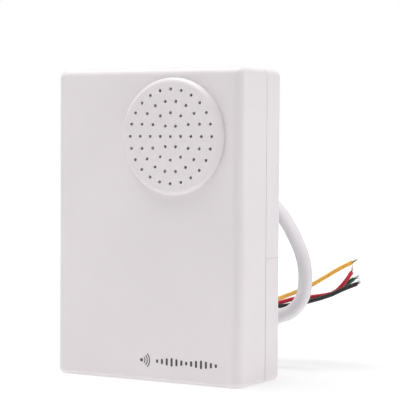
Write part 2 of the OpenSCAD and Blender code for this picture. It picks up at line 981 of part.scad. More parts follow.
// Two transistors in D-shaped bodies on three legs each
transistor_d = 4.6;
transistor_h = 4.8;
transistor_flat = 1.2;
leg_h = 3;
transistor_at = [[-7, 13.6], [-1.5, 13.6]];
module transistors() {
  color("#26262A")
    at_board()
      for (p = transistor_at)
        translate([p.x, p.y, leg_h])
          difference() {
            cylinder(d = transistor_d, h = transistor_h);
            translate([-transistor_d, -transistor_d - transistor_flat, -past])
              cube([2 * transistor_d, transistor_d, transistor_h + 2 * past]);
          }
}

// Bodies that lie on the board in two rows, with bent legs: four diodes and five resistors
diode = [2.6, 4.6];
diode_pitch = 3.5;
diode_row = [-10, -9.6];
diode_at = [for (i = [0:3]) diode_row + [i * diode_pitch, 0]];
resistor = [2.2, 5.6];
resistor_pitch = 3.4;
resistor_row = [-10.5, -2];
resistor_at = [for (i = [0:4]) resistor_row + [i * resistor_pitch, 0]];
module lying(places, size) {
  for (p = places)
    translate([p.x, p.y + size.y / 2, size.x / 2])
      rotate([90, 0, 0])
        cylinder(d = size.x, h = size.y, $fn = 32);
}

module diodes() {
  color("#1D1D20")
    at_board()
      lying(diode_at, diode);
}

module resistors() {
  color("#C9AD84")
    at_board()
      lying(resistor_at, resistor);
}

// Round legs at both ends of lying bodies: out of the end face, then down to the board
module bent_legs(places, size, leg_d, reach) {
  for (p = places, s = [-1, 1])
    translate([p.x, p.y + s * size.y / 2, 0]) {
      translate([0, 0, size.x / 2])
        rotate([-90 * s, 0, 0])
          cylinder(d = leg_d, h = reach);
      translate([0, s * reach, 0]) {
        cylinder(d = leg_d, h = size.x / 2);
        translate([0, 0, size.x / 2])
          sphere(d = leg_d);
      }
    }
}

module component_legs() {
  leg = 0.5;
  leg_pitch = 1.27;
  leg_reach = 0.6;
  color(copper_colour)
    at_board() {
      for (p = transistor_at, i = [-1, 0, 1])
        translate([p.x + i * leg_pitch - leg / 2, p.y - leg / 2, 0])
          cube([leg, leg, leg_h]);
      bent_legs(diode_at, diode, leg, leg_reach, $fn = 16);
      bent_legs(resistor_at, resistor, leg, leg_reach, $fn = 16);
    }
}

module header(at_place, ways) {
  color("#E9E4D6")
    at_board()
      translate([at_place.x, at_place.y, 0])
        difference() {
          translate([-ways * lead_pitch / 2 - header_side, -header_t / 2, 0])
            cube([ways * lead_pitch + 2 * header_side, header_t, header_h]);
          for (i = [0:ways - 1])
            translate([(i - (ways - 1) / 2) * lead_pitch, 0, header_h - header_hole])
              cylinder(d = core_d + 2 * free_gap, h = header_hole + past);
        }
}

module cable_header() {
  header(cable_header_at, 4);
}

module speaker_header() {
  header(speaker_header_at, 2);
}

// Place of a header's way in the part's frame, at the foot of its wire hole
function header_way(at_place, ways, i) = [
  board_x + at_place.x + (i - (ways - 1) / 2) * lead_pitch,
  back_y - board_front - header_h + header_hole - wire_foot,
  board_mid + at_place.y
];

module speaker_lead(colour, s, drop, bow_out) {
  from = [
    disc_x + s * lead_pitch,
    back_y - rim_back + terminal.z + tag.z + core_d / 2 + free_gap / 2,
    disc_z - rim_r + terminal_in - terminal.y - tag_in
  ];
  way = header_way(speaker_header_at, 2, (1 + s) / 2);
  color(colour)
    tube(wire(from, [0, 0, -drop], way, [0, -bow_out, 0]), core_d, 8);
}

// Drop below the tags and bow above the header of the two loudspeaker leads
red_lead_bow = [15, 4];
black_lead_bow = [6, 12];
module speaker_lead_red() {
  speaker_lead(red_colour, 1, red_lead_bow.x, red_lead_bow.y);
}

module speaker_lead_black() {
  speaker_lead(black_colour, -1, black_lead_bow.x, black_lead_bow.y);
}

// Core inside the box, from the sheath's inner end to the header, each bowed less than the last
first_bow = 12;
bow_step = 3;
module inner_core(colour, i, offset) {
  lay_gap = 0.06;
  bow_out = first_bow - i * bow_step;
  from = sheath_route[0] + [offset.x, 0, offset.y] * (core_d / 2 + lay_gap);
  way = header_way(cable_header_at, 4, i);
  color(colour)
    tube(wire(from, [0, -bow_out, 0], way, [0, -bow_out, 0]), core_d, 8);
}

module inner_yellow() {
  inner_core(yellow_colour, 0, [1, -1]);
}

module inner_red() {
  inner_core(red_colour, 1, [1, 1]);
}

module inner_black() {
  inner_core(black_colour, 2, [-1, -1]);
}

module inner_green() {
  inner_core(green_colour, 3, [-1, 1]);
}

module cable_sheath() {
  color("#E2DFE4")
    tube(sheath_points, cable_d, 10);
}

module core_yellow() {
  color(yellow_colour)
    tube(yellow_route, core_d, 8);
}

module core_red() {
  color(red_colour)
    tube(red_route, core_d, 8);
}

module core_black() {
  color(black_colour)
    tube(black_route, core_d, 8);
}

module core_green() {
  color(green_colour)
    tube(green_route, core_d, 8);
}

module bare_ends() {
  color(copper_colour)
    for (route = copper_routes)
      tube(route, copper_d, 8);
}

front_cover();
rear_housing();
rear_door();
cable_grommet();
cable_tie();
speaker_basket();
speaker_yoke();
speaker_magnet();
speaker_top_plate();
speaker_spider();
speaker_cone();
cone_surround();
dust_cap();
voice_coil();
speaker_gasket();
speaker_terminal();
speaker_tags();
speaker_screws();
circuit_board();
chime_chip();
chip_pins();
capacitors();
transistors();
component_legs();
diodes();
resistors();
cable_header();
speaker_header();
board_screws();
speaker_lead_red();
speaker_lead_black();
inner_yellow();
inner_red();
inner_black();
inner_green();
cable_sheath();
core_yellow();
core_red();
core_black();
core_green();
bare_ends();
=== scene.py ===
"""Looks of a wired doorbell chime box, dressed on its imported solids.

The case is satin white ABS with a raised round grille, the lead is a white sheath with four
coloured cores whose bare ends show, and the loudspeaker and the board inside get their own
finishes, because the cover comes off.
"""

import logging
import math
from collections.abc import Iterable, Sequence
from dataclasses import dataclass
from enum import Enum

import bmesh
import bpy
from mathutils import Matrix, Vector


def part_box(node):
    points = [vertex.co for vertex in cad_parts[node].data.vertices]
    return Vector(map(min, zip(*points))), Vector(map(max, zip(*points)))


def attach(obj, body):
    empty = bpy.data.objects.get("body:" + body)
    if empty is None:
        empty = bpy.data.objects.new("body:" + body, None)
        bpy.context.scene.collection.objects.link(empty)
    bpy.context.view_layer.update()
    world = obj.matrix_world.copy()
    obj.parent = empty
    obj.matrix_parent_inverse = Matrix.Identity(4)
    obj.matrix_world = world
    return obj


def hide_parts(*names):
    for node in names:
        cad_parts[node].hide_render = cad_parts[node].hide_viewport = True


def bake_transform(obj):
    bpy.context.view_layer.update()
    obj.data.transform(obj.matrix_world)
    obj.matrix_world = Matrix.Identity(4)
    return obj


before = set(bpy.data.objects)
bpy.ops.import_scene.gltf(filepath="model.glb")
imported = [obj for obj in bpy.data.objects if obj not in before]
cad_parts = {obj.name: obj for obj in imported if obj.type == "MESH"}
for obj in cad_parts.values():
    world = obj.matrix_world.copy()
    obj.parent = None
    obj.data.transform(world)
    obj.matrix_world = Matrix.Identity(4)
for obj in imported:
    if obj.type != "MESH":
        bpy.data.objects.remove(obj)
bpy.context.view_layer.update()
LOG = logging.getLogger("chime_box")

# One millimetre, in Blender's metres.
MM = 0.001
# Distance within which points of a copied solid count as one, mm.
WELD = 0.0005
QUARTER_TURN = math.pi / 2
WHITE = "#FFFFFF"
# Blender's grid takes half a side, so this makes a unit square.
UNIT_SQUARE = 0.5

# The sRGB curve: a straight line up to the knee, then a power.
SRGB_KNEE = 0.04045
SRGB_SLOPE = 12.92
SRGB_OFFSET = 0.055
SRGB_POWER = 2.4

# Octaves of the noise that mottles a colour, and of the noise that makes a grain.
MOTTLE_DETAIL = 3.0
GRAIN_DETAIL = 2.0
# Noise values at which a mottle reaches its shade and its main colour.
SHADE_AT = 0.35
COLOUR_AT = 0.65
# Blender's wave texture repeats once in this length at a scale of one.
WAVE_PERIOD = math.pi / 10
# Sockets of Blender's Mix node when it mixes colours.
MIX_SHARE, MIX_FROM, MIX_TO, MIX_RESULT = 0, 6, 7, 2

# Roundness of a cord's section, and steps along it between two points of its route.
CORD_ROUNDNESS = 6
CORD_STEPS = 12
# The way between the points on either side of a knot, divided by this, is its handle.
HANDLE_PARTS = 6

Point = tuple[float, float, float]
Bands = tuple[tuple[float, str], ...]
Socket = bpy.types.NodeSocket
Tree = bpy.types.NodeTree


class Body(Enum):
    """Rigid bodies that new pieces move with."""

    CASE = "case"
    COVER = "cover"
    CONE = "cone"


def linear(hex_code: str) -> tuple[float, float, float, float]:
    """Turn an sRGB hex colour into linear light.

    Args:
        hex_code: six hex digits after a hash sign.

    Returns:
        Red, green, blue and an alpha of one.
    """
    shares = [int(hex_code[i : i + 2], 16) / 255 for i in (1, 3, 5)]
    red, green, blue = (
        s / SRGB_SLOPE if s <= SRGB_KNEE else ((s + SRGB_OFFSET) / (1 + SRGB_OFFSET)) ** SRGB_POWER
        for s in shares
    )
    return (red, green, blue, 1.0)


def add_node(
    tree: Tree,
    kind: str,
    settings: dict[str | int, object] | None = None,
    links: dict[str | int, Socket] | None = None,
) -> bpy.types.Node:
    """Add a node, with its settings and the links into it.

    Args:
        tree: node tree that gets the node.
        kind: Blender's name for the node type.
        settings: input sockets, or else attributes of the node, and their values.
        links: input sockets and the sockets that feed them.

    Returns:
        The new node.
    """
    made = tree.nodes.new(kind)
    for key, value in (settings or {}).items():
        if isinstance(key, int) or key in made.inputs:
            made.inputs[key].default_value = value
        else:
            setattr(made, key, value)
    for key, source in (links or {}).items():
        tree.links.new(source, made.inputs[key])
    return made


def set_ramp(ramp: bpy.types.Node, stops: Sequence[tuple[float, str]]) -> None:
    """Give a colour ramp its stops.

    Args:
        ramp: colour ramp node.
        stops: place from 0 to 1 and sRGB hex colour of each stop, in order.
    """
    elements = ramp.color_ramp.elements
    while len(elements) < len(stops):
        elements.new(1.0)
    for element, (place, colour) in zip(elements, stops):
        element.position = place
        element.color = linear(colour)


@dataclass(frozen=True)
class Finish:
    """A material: what it is, how its surface was made, and what that gives the eye.

    Attributes:
        name: common name of the material and how its surface was made.
        slot: the record's slot for it. Not used.
        colour: main colour, sRGB hex.
        shade: colour that the slow mottle reaches, sRGB hex.
        mottle_mm: size of the slow change of tone.
        grain_mm: size of the surface grain.
        grain_deep_mm: depth of the surface grain.
        roughness: mean roughness.
        swing: how far the grain moves the roughness each way.
        metallic: 1 for bare metal.
        ior: refractive index of anything that isn't metal.
        coat: weight of a clear skin, such as lacquer or gloss PVC.
        sheen: weight of soft fibre sheen.
    """

    name: str
    slot: str
    colour: str
    shade: str
    mottle_mm: float
    grain_mm: float
    grain_deep_mm: float
    roughness: float
    swing: float = 0.05
    metallic: float = 0.0
    ior: float = 1.5
    coat: float = 0.0
    sheen: float = 0.0

    def tone(self, tree: Tree, place: Socket) -> Socket:
        """Mottle between the main colour and its shade.

        Args:
            tree: the material's nodes.
            place: object coordinates.

        Returns:
            Colour socket.
        """
        noise = add_node(
            tree,
            "ShaderNodeTexNoise",
            {"Scale": 1 / (self.mottle_mm * MM), "Detail": MOTTLE_DETAIL},
            {"Vector": place},
        )
        ramp = add_node(tree, "ShaderNodeValToRGB", links={"Fac": noise.outputs["Fac"]})
        set_ramp(ramp, [(SHADE_AT, self.shade), (COLOUR_AT, self.colour)])
        return ramp.outputs["Color"]

    def relief(self, tree: Tree, place: Socket) -> Socket:
        """Height of the surface grain.

        Args:
            tree: the material's nodes.
            place: object coordinates.

        Returns:
            Value socket, about 0 to 1.
        """
        grain = add_node(
            tree,
            "ShaderNodeTexNoise",
            {"Scale": 1 / (self.grain_mm * MM), "Detail": GRAIN_DETAIL},
            {"Vector": place},
        )
        return grain.outputs["Fac"]

    def build(self) -> bpy.types.Material:
        """Make the material's nodes.

        Returns:
            The new material.
        """
        made = bpy.data.materials.new(self.name)
        made.use_nodes = True
        tree = made.node_tree
        shader = tree.nodes["Principled BSDF"]
        place = add_node(tree, "ShaderNodeTexCoord").outputs["Object"]
        height = self.relief(tree, place)
        rough = add_node(
            tree,
            "ShaderNodeMapRange",
            {"To Min": self.roughness - self.swing, "To Max": self.roughness + self.swing},
            {"Value": height},
        )
        bump = add_node(
            tree,
            "ShaderNodeBump",
            {"Strength": 1.0, "Distance": self.grain_deep_mm * MM},
            {"Height": height},
        )
        tree.links.new(self.tone(tree, place), shader.inputs["Base Color"])
        tree.links.new(rough.outputs["Result"], shader.inputs["Roughness"])
        tree.links.new(bump.outputs["Normal"], shader.inputs["Normal"])
        shader.inputs["Metallic"].default_value = self.metallic
        shader.inputs["IOR"].default_value = self.ior
        shader.inputs["Coat Weight"].default_value = self.coat
        shader.inputs["Sheen Weight"].default_value = self.sheen
        return made


@dataclass(frozen=True)
class BandedFinish(Finish):
    """A body with colour bands across its length, which runs along Z.

    Attributes:
        low_m: Z of the body's lower end, in metres.
        high_m: Z of the body's upper end, in metres.
        bands: start of each band as a share of the length, and its colour.
    """

    low_m: float = 0.0
    high_m: float = 1.0
    bands: Bands = ()

    def tone(self, tree: Tree, place: Socket) -> Socket:
        """Hard-edged bands along Z, as painted on a small component.

        Args:
            tree: the material's nodes.
            place: object coordinates.

        Returns:
            Colour socket.
        """
        parts = add_node(tree, "ShaderNodeSeparateXYZ", links={0: place})
        share = add_node(
            tree,
            "ShaderNodeMapRange",
            {"From Min": self.low_m, "From Max": self.high_m},
            {"Value": parts.outputs["Z"]},
        )
        ramp = add_node(tree, "ShaderNodeValToRGB", links={"Fac": share.outputs["Result"]})
        ramp.color_ramp.interpolation = "CONSTANT"
        set_ramp(ramp, self.bands)
        return ramp.outputs["Color"]


@dataclass(frozen=True)
class SleeveFinish(Finish):
    """A can in a printed sleeve: a pale stripe down one side and a bare metal top.

    Attributes:
        stripe: colour of the stripe.
        top: colour of the can's top.
        stripe_from: least share of the normal along +X inside the stripe.
        top_to: most that the normal has along Y on the top, which looks towards -Y.
    """

    stripe: str = WHITE
    top: str = WHITE
    stripe_from: float = 0.86
    top_to: float = -0.5

    def tone(self, tree: Tree, place: Socket) -> Socket:
        """Sleeve colour, with the stripe and the top picked out by the way a face looks.

        Args:
            tree: the material's nodes.
            place: object coordinates.

        Returns:
            Colour socket.
        """
        base = Finish.tone(self, tree, place)
        normal = add_node(tree, "ShaderNodeTexCoord").outputs["Normal"]
        parts = add_node(tree, "ShaderNodeSeparateXYZ", links={0: normal})
        for axis, operation, limit, colour in (
            ("X", "GREATER_THAN", self.stripe_from, self.stripe),
            ("Y", "LESS_THAN", self.top_to, self.top),
        ):
            test = add_node(
                tree, "ShaderNodeMath", {"operation": operation, 1: limit}, {0: parts.outputs[axis]}
            )
            mix = add_node(
                tree,
                "ShaderNodeMix",
                {"data_type": "RGBA", MIX_TO: linear(colour)},
                {MIX_SHARE: test.outputs[0], MIX_FROM: base},
            )
            base = mix.outputs[MIX_RESULT]
        return base


@dataclass(frozen=True)
class RidgedFinish(Finish):
    """A surface of fine parallel ridges: wound wire, or cloth where two sets cross.

    Attributes:
        ridges: directions of the sets, as Blender's wave texture names them.
        pitch_mm: distance between ridges.
    """

    ridges: tuple[str, ...] = ("Y",)
    pitch_mm: float = 0.3

    def relief(self, tree: Tree, place: Socket) -> Socket:
        """Product of the sets of ridges.

        Args:
            tree: the material's nodes.
            place: object coordinates.

        Returns:
            Value socket, 0 to 1.
        """
        height: Socket | None = None
        for direction in self.ridges:
            wave = add_node(
                tree,
                "ShaderNodeTexWave",
                {"bands_direction": direction, "Scale": WAVE_PERIOD / (self.pitch_mm * MM)},
                {"Vector": place},
            )
            if height is None:
                height = wave.outputs["Fac"]
                continue
            both = add_node(
                tree, "ShaderNodeMath", {"operation": "MULTIPLY"}, {0: height, 1: wave.outputs["Fac"]}
            )
            height = both.outputs[0]
        return height


@dataclass(frozen=True)
class TrackedFinish(Finish):
    """A circuit board: solder mask with the tracks under it showing paler.

    Attributes:
        track: colour of the mask over copper.
        track_pitch_mm: distance between tracks.
        track_w_mm: width of a track.
        link_mm: distance between cross links, along the tracks.
        stagger: shift of the links from row to row, as a share of their distance.
    """

    track: str = WHITE
    track_pitch_mm: float = 1.27
    track_w_mm: float = 0.45
    link_mm: float = 17.0
    stagger: float = 0.31

    def tone(self, tree: Tree, place: Socket) -> Socket:
        """Long staggered rows in the board's plane, whose joints are the tracks.

        Args:
            tree: the material's nodes.
            place: object coordinates.

        Returns:
            Colour socket.
        """
        turn = add_node(
            tree,
            "ShaderNodeMapping",
            {"Rotation": (QUARTER_TURN, 0.0, 0.0)},
            {"Vector": place},
        )
        bricks = add_node(
            tree,
            "ShaderNodeTexBrick",
            {
                "offset": self.stagger,
                "Color1": linear(self.colour),
                "Color2": linear(self.shade),
                "Mortar": linear(self.track),
                "Scale": 1.0,
                "Mortar Size": self.track_w_mm / 2 * MM,
                "Mortar Smooth": 0.0,
                "Brick Width": self.link_mm * MM,
                "Row Height": self.track_pitch_mm * MM,
            },
            {"Vector": turn.outputs["Vector"]},
        )
        return bricks.outputs["Color"]


# Moulded ABS: a soft satin sheen with no sharp reflections. The real spark-eroded grain is about
# 0.1 mm and is drawn coarser here so that it shows.
CASE_ABS = Finish(
    "Moulded ABS satin white", "case_abs", "#E2DCDE", "#DFD9DB",
    mottle_mm=38, grain_mm=0.55, grain_deep_mm=0.004, roughness=0.42, swing=0.04, ior=1.53,
)
# Printing ink: a thin dull film, a little rougher than the plastic under it.
PRINT_INK = Finish(
    "Pad printing ink dark grey", "case_abs", "#4A464A", "#423E43",
    mottle_mm=4, grain_mm=0.4, grain_deep_mm=0.002, roughness=0.6,
)
# Moulded rubber: almost no reflection, a dry dusty surface.
GROMMET_RUBBER = Finish(
    "Moulded rubber dark grey", "rubber_grey", "#47474A", "#3C3C40",
    mottle_mm=3, grain_mm=0.3, grain_deep_mm=0.006, roughness=0.75, ior=1.52,
)
# Nylon: milky, slightly waxy.
TIE_NYLON = Finish(
    "Moulded nylon natural", "nylon", "#E6E2D8", "#DCD7CB",
    mottle_mm=5, grain_mm=0.4, grain_deep_mm=0.003, roughness=0.45, ior=1.53,
)
# Zinc plate: bright, bluish, with soft cloudy patches from the bath.
ZINC_STEEL = Finish(
    "Pressed steel bright zinc plate", "zinc_steel", "#C3C7CC", "#AEB2B8",
    mottle_mm=4, grain_mm=0.7, grain_deep_mm=0.004, roughness=0.32, swing=0.08, metallic=1.0,
)
# Sintered ferrite: matt charcoal with a fine crystalline speckle.
FERRITE = Finish(
    "Sintered ferrite ground", "ferrite", "#3B3B3E", "#2E2E31",
    mottle_mm=0.8, grain_mm=0.3, grain_deep_mm=0.008, roughness=0.7, swing=0.1, ior=2.3,
)
# Pressed paper pulp: black, fibrous, with a little sheen at a glancing angle.
CONE_PAPER = Finish(
    "Pressed paper pulp black", "cone_paper", "#2B2A29", "#201F1E",
    mottle_mm=1.4, grain_mm=0.5, grain_deep_mm=0.03, roughness=0.85, swing=0.08, sheen=0.15,
)
# Thin moulded rubber: black with a soft broad highlight over the roll.
SURROUND_RUBBER = Finish(
    "Moulded butyl rubber black", "surround_rubber", "#1F1F21", "#18181A",
    mottle_mm=3, grain_mm=0.4, grain_deep_mm=0.006, roughness=0.55,
)
# Resin-dipped cotton: amber, with the weave standing out.
SPIDER_CLOTH = RidgedFinish(
    "Resin dipped cotton cloth", "spider_cloth", "#C79A3C", "#B5862C",
    mottle_mm=3, grain_mm=0.6, grain_deep_mm=0.05, roughness=0.7, sheen=0.1,
    ridges=("X", "Z"), pitch_mm=0.6,
)
# Enamelled wire, wound turn beside turn: a warm glint along each turn. The real pitch is under
# 0.2 mm and is drawn wider so that it shows.
COIL_COPPER = RidgedFinish(
    "Enamelled copper winding", "coil_copper", "#C07A3E", "#A86430",
    mottle_mm=2, grain_mm=0.3, grain_deep_mm=0.06, roughness=0.3, metallic=1.0, pitch_mm=0.35,
)
# Closed-cell foam: black, pitted with small bubbles.
GASKET_FOAM = Finish(
    "Closed cell foam black", "gasket_foam", "#303032", "#232325",
    mottle_mm=0.9, grain_mm=0.6, grain_deep_mm=0.08, roughness=0.9,
)
# Phenolic paper board: brown, with a fibrous mottle.
PHENOLIC = Finish(
    "Phenolic paper board punched", "phenolic", "#8C5B34", "#754826",
    mottle_mm=1.6, grain_mm=0.3, grain_deep_mm=0.006, roughness=0.5, swing=0.06,
)
# Hot-dipped tin: bright grey with uneven flow marks.
TINNED = Finish(
    "Tinned copper drawn", "tinned", "#CFCCC6", "#B4B0A8",
    mottle_mm=0.8, grain_mm=0.25, grain_deep_mm=0.01, roughness=0.28, swing=0.1, metallic=1.0,
)
# Fine strands of tinned copper, cut and fanned: the pins' metal, painted paler grey as a painted
# highlight.
TINNED_STRAND = Finish(
    "Tinned copper strands cut", "tinned", "#DEDBD8", "#D2CECA",
    mottle_mm=0.6, grain_mm=0.2, grain_deep_mm=0.003, roughness=0.32, metallic=1.0,
)
# Solder mask over glass epoxy: glossy green, paler over the tracks.
BOARD_MASK = TrackedFinish(
    "Glass epoxy board with solder mask", "board_green", "#1F6A37", "#1B5F31",
    mottle_mm=4, grain_mm=0.5, grain_deep_mm=0.004, roughness=0.3, coat=0.4, track="#3F9455",
)
# Transfer-moulded epoxy: matt black with a fine grit.
CHIP_EPOXY = Finish(
    "Transfer moulded epoxy black", "chip_black", "#28282B", "#1F1F22",
    mottle_mm=1.2, grain_mm=0.2, grain_deep_mm=0.008, roughness=0.6, swing=0.08,
)
# Shrunk PVC sleeve: dark blue, glossy, over an aluminium can.
CAN_SLEEVE = SleeveFinish(
    "Shrunk PVC sleeve dark blue", "capacitor_sleeve", "#2C3A66", "#24305A",
    mottle_mm=3, grain_mm=0.5, grain_deep_mm=0.003, roughness=0.3, swing=0.04, coat=0.3,
    stripe="#B9C0D2", top="#BFC2C6",
)
# Moulded nylon connector: cream, slightly glossy.
HEADER_NYLON = Finish(
    "Moulded nylon connector cream", "header_nylon", "#E9E3D2", "#DED7C3",
    mottle_mm=4, grain_mm=0.3, grain_deep_mm=0.003, roughness=0.42, swing=0.04,
)
# Extruded PVC sheath: smooth cool white with a soft highlight along its length.
SHEATH_PVC = Finish(
    "Extruded PVC white", "pvc_white", "#DDDADD", "#D8D5D9",
    mottle_mm=14, grain_mm=0.8, grain_deep_mm=0.005, roughness=0.45, ior=1.54,
)


def core_finish(name: str, slot: str, colour: str, shade: str) -> Finish:
    """Thin extruded PVC on a core: smooth, glossier than the sheath.

    Args:
        name: the core's colour in words.
        slot: the record's slot for it.
        colour: main colour, sRGB hex.
        shade: colour that the mottle reaches, sRGB hex.

    Returns:
        The finish.
    """
    return Finish(
        f"Extruded PVC core {name}", slot, colour, shade,
        mottle_mm=6, grain_mm=0.4, grain_deep_mm=0.003, roughness=0.42, swing=0.04, ior=1.54,
    )


CORE_YELLOW = core_finish("amber yellow", "pvc_yellow", "#F0B84D", "#E7AB3E")
CORE_RED = core_finish("red", "pvc_red", "#D01E35", "#C1172C")
CORE_BLACK = core_finish("black", "pvc_black", "#120E16", "#0D0A11")
CORE_GREEN = core_finish("green", "pvc_green", "#12654A", "#0D563E")


class Palette:
    """Materials made so far, one for each finish."""

    def __init__(self) -> None:
        """Start with nothing made."""
        self.made: dict[str, bpy.types.Material] = {}

    def material(self, finish: Finish) -> bpy.types.Material:
        """Make a finish's material once and hand it out after that.

        Args:
            finish: what is wanted.

        Returns:
            Its material.
        """
        if finish.name not in self.made:
            self.made[finish.name] = finish.build()
        return self.made[finish.name]

    def dress(self, node: str, finish: Finish) -> None:
        """Put a finish on a solid of the frame.

        Args:
            node: name of the solid.
            finish: what it is made of.
        """
        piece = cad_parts[node]
        if not piece.material_slots:
            piece.data.materials.append(None)
        for place in piece.material_slots:
            place.material = self.material(finish)
        LOG.info("dressed %s: %s", node, finish.name)

    def dress_new(self, piece: bpy.types.Object, finish: Finish) -> None:
        """Put a finish on a new piece and log the finish's name.

        Args:
            piece: new object, in place.
            finish: what it is made of.
        """
        piece.data.materials.append(self.material(finish))
        LOG.info("made %s: %s", piece.name, finish.name)

    def dress_riding(self, piece: bpy.types.Object, finish: Finish, body: Body) -> None:
        """Put a finish on a new piece and let it ride on the body that it moves with."""
        self.dress_new(piece, finish)
        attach(piece, body.value)


def mesh_piece(name: str, bm: bmesh.types.BMesh, smooth: bool) -> bpy.types.Object:
    """Turn a finished bmesh into an object at the origin.

    Args:
        name: the piece's name.
        bm: mesh in the part's frame, in metres. It is freed.
        smooth: whether its faces are shaded smooth.

    Returns:
        The new object.
    """
    bmesh.ops.recalc_face_normals(bm, faces=bm.faces)
    for face in bm.faces:
        face.smooth = smooth
    mesh = bpy.data.meshes.new(name)
    bm.to_mesh(mesh)
    bm.free()
    piece = bpy.data.objects.new(name, mesh)
    bpy.context.scene.collection.objects.link(piece)
    return piece


def sweep(bm: bmesh.types.BMesh, points: Sequence[Vector], radius: float, sides: int) -> None:
    """Add a thin round wire along a few points.

    Args:
        bm: mesh that gets the wire.
        points: its centreline, in metres.
        radius: its radius, in metres.
        sides: number of sides.
    """
    turn = (points[1] - points[0]).to_track_quat("Z", "Y").to_matrix().to_4x4()
    ring = bmesh.ops.create_circle(
        bm, cap_ends=True, radius=radius, segments=sides, matrix=Matrix.Translation(points[0]) @ turn
    )
    face = ring["verts"][0].link_faces[0]
    for start, end in zip(points, points[1:]):
        grown = bmesh.ops.extrude_face_region(bm, geom=[face])["geom"]
        face = next(g for g in grown if isinstance(g, bmesh.types.BMFace))
        bmesh.ops.translate(bm, vec=end - start, verts=face.verts)


@dataclass
class PrintedMark:
    """Plain printed mark low on the front: a dot with sound arcs and a row of level bars.

    Attributes:
        left_x: left end of the mark, mm.
        middle_z: height of its middle, mm.
        grille_rise: height of the grille disc above the flat front, mm.
        film: thickness of the ink, mm.
        arc_radii: inner and outer radius of each arc, mm.
        arc_span_deg: angle that each arc covers.
        dot_radius: radius of the dot, mm.
        bars_x: middle of the first bar, mm.
        bar_w: width of a bar, mm.
        bar_pitch: distance between the middles of bars, mm.
        bar_heights: heights of the bars, mm.
        bar_round: share of a bar's width that each corner's rounding takes, just under half.
        dot_sides: sides of the dot.
        arc_steps: steps along an arc.
        bar_steps: steps round a bar's corner.
    """

    left_x: float = -2.3
    middle_z: float = 8.4
    grille_rise: float = 2.5
    film: float = 0.03
    arc_radii: tuple[tuple[float, float], ...] = ((1.4, 1.85), (2.45, 2.9), (3.5, 3.95))
    arc_span_deg: float = 92.0
    dot_radius: float = 0.7
    bars_x: float = 5.7
    bar_w: float = 0.95
    bar_pitch: float = 2.23
    bar_heights: tuple[float, ...] = (1.5, 2.2, 2.9, 3.4, 2.9, 2.2, 1.5, 2.2, 2.9, 3.4, 2.9, 2.2, 1.5)
    bar_round: float = 0.49
    dot_sides: int = 24
    arc_steps: int = 16
    bar_steps: int = 5

    def build(self, palette: Palette) -> None:
        """Make the mark on the front face of the cover.

        Args:
            palette: materials.
        """
        bm = bmesh.new()
        centre = Vector((self.left_x + self.dot_radius, 0, 0))
        bmesh.ops.create_circle(
            bm,
            cap_ends=True,
            radius=self.dot_radius,
            segments=self.dot_sides,
            matrix=Matrix.Translation(centre),
        )
        for inner, outer in self.arc_radii:
            self._arc(bm, centre, inner, outer)
        for i, height in enumerate(self.bar_heights):
            self._bar(bm, self.bars_x + i * self.bar_pitch, height)
        film = bmesh.ops.extrude_face_region(bm, geom=bm.faces[:])
        lifted = [g for g in film["geom"] if isinstance(g, bmesh.types.BMVert)]
        bmesh.ops.translate(bm, vec=(0, 0, self.film), verts=lifted)
        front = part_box("front_cover")[0].y + self.grille_rise * MM
        upright = Matrix.Rotation(QUARTER_TURN, 4, "X")
        place = Matrix.Translation((0, front, self.middle_z * MM)) @ upright @ Matrix.Scale(MM, 4)
        bmesh.ops.transform(bm, matrix=place, verts=bm.verts)
        palette.dress_riding(mesh_piece("printed_mark", bm, smooth=False), PRINT_INK, Body.COVER)

    def _arc(self, bm: bmesh.types.BMesh, centre: Vector, inner: float, outer: float) -> None:
        """Add one sound arc to the right of the dot.

        Args:
            bm: mesh of the mark, in mm.
            centre: middle of the dot.
            inner: inner radius, mm.
            outer: outer radius, mm.
        """
        half = math.radians(self.arc_span_deg) / 2
        ends = [bm.verts.new(centre + Vector((r, 0, 0))) for r in (inner, outer)]
        bmesh.ops.rotate(bm, cent=centre, matrix=Matrix.Rotation(-half, 3, "Z"), verts=ends)
        edge = bm.edges.new(ends)
        bmesh.ops.spin(
            bm, geom=[*ends, edge], cent=centre, axis=(0, 0, 1), angle=2 * half, steps=self.arc_steps
        )

    def _bar(self, bm: bmesh.types.BMesh, x: float, height: float) -> None:
        """Add one round-ended bar, centred on the mark's middle line.

        Args:
            bm: mesh of the mark, in mm.
            x: middle of the bar, mm.
            height: height of the bar, mm.
        """
        size = Matrix.Diagonal((self.bar_w, height, 1, 1))
        grid = bmesh.ops.create_grid(
            bm, x_segments=1, y_segments=1, size=UNIT_SQUARE, matrix=Matrix.Translation((x, 0, 0)) @ size
        )
        bmesh.ops.bevel(
            bm,
            geom=grid["verts"],
            offset=self.bar_w * self.bar_round,
            segments=self.bar_steps,
            profile=0.5,
            affect="VERTICES",
            material=-1,
        )


@dataclass
class Case:
    """The two mouldings and the rear door, with the mark printed on the front.

    Attributes:
        shells: solids moulded in the case's plastic.
    """

    shells: tuple[str, ...] = ("front_cover", "rear_housing", "rear_door")

    def build(self, palette: Palette) -> None:
        """Dress the shells, the grommet and the tie, and print the mark.

        Args:
            palette: materials.
        """
        for node in self.shells:
            palette.dress(node, CASE_ABS)
        palette.dress("cable_grommet", GROMMET_RUBBER)
        palette.dress("cable_tie", TIE_NYLON)
        PrintedMark().build(palette)


@dataclass(frozen=True)
class Core:
    """One insulated core of the lead, with its bare end.

    Attributes:
        colour: the core's colour, as its solid is named.
        finish: its insulation.
        route: points of its centreline, mm.
        length: its real length, mm. Not used.
        bare: points of its bare end, mm.
        fan: how far the strands spread at the tip, mm.
    """

    colour: str
    finish: Finish
    route: tuple[Point, ...]
    length: float
    bare: tuple[Point, Point]
    fan: float


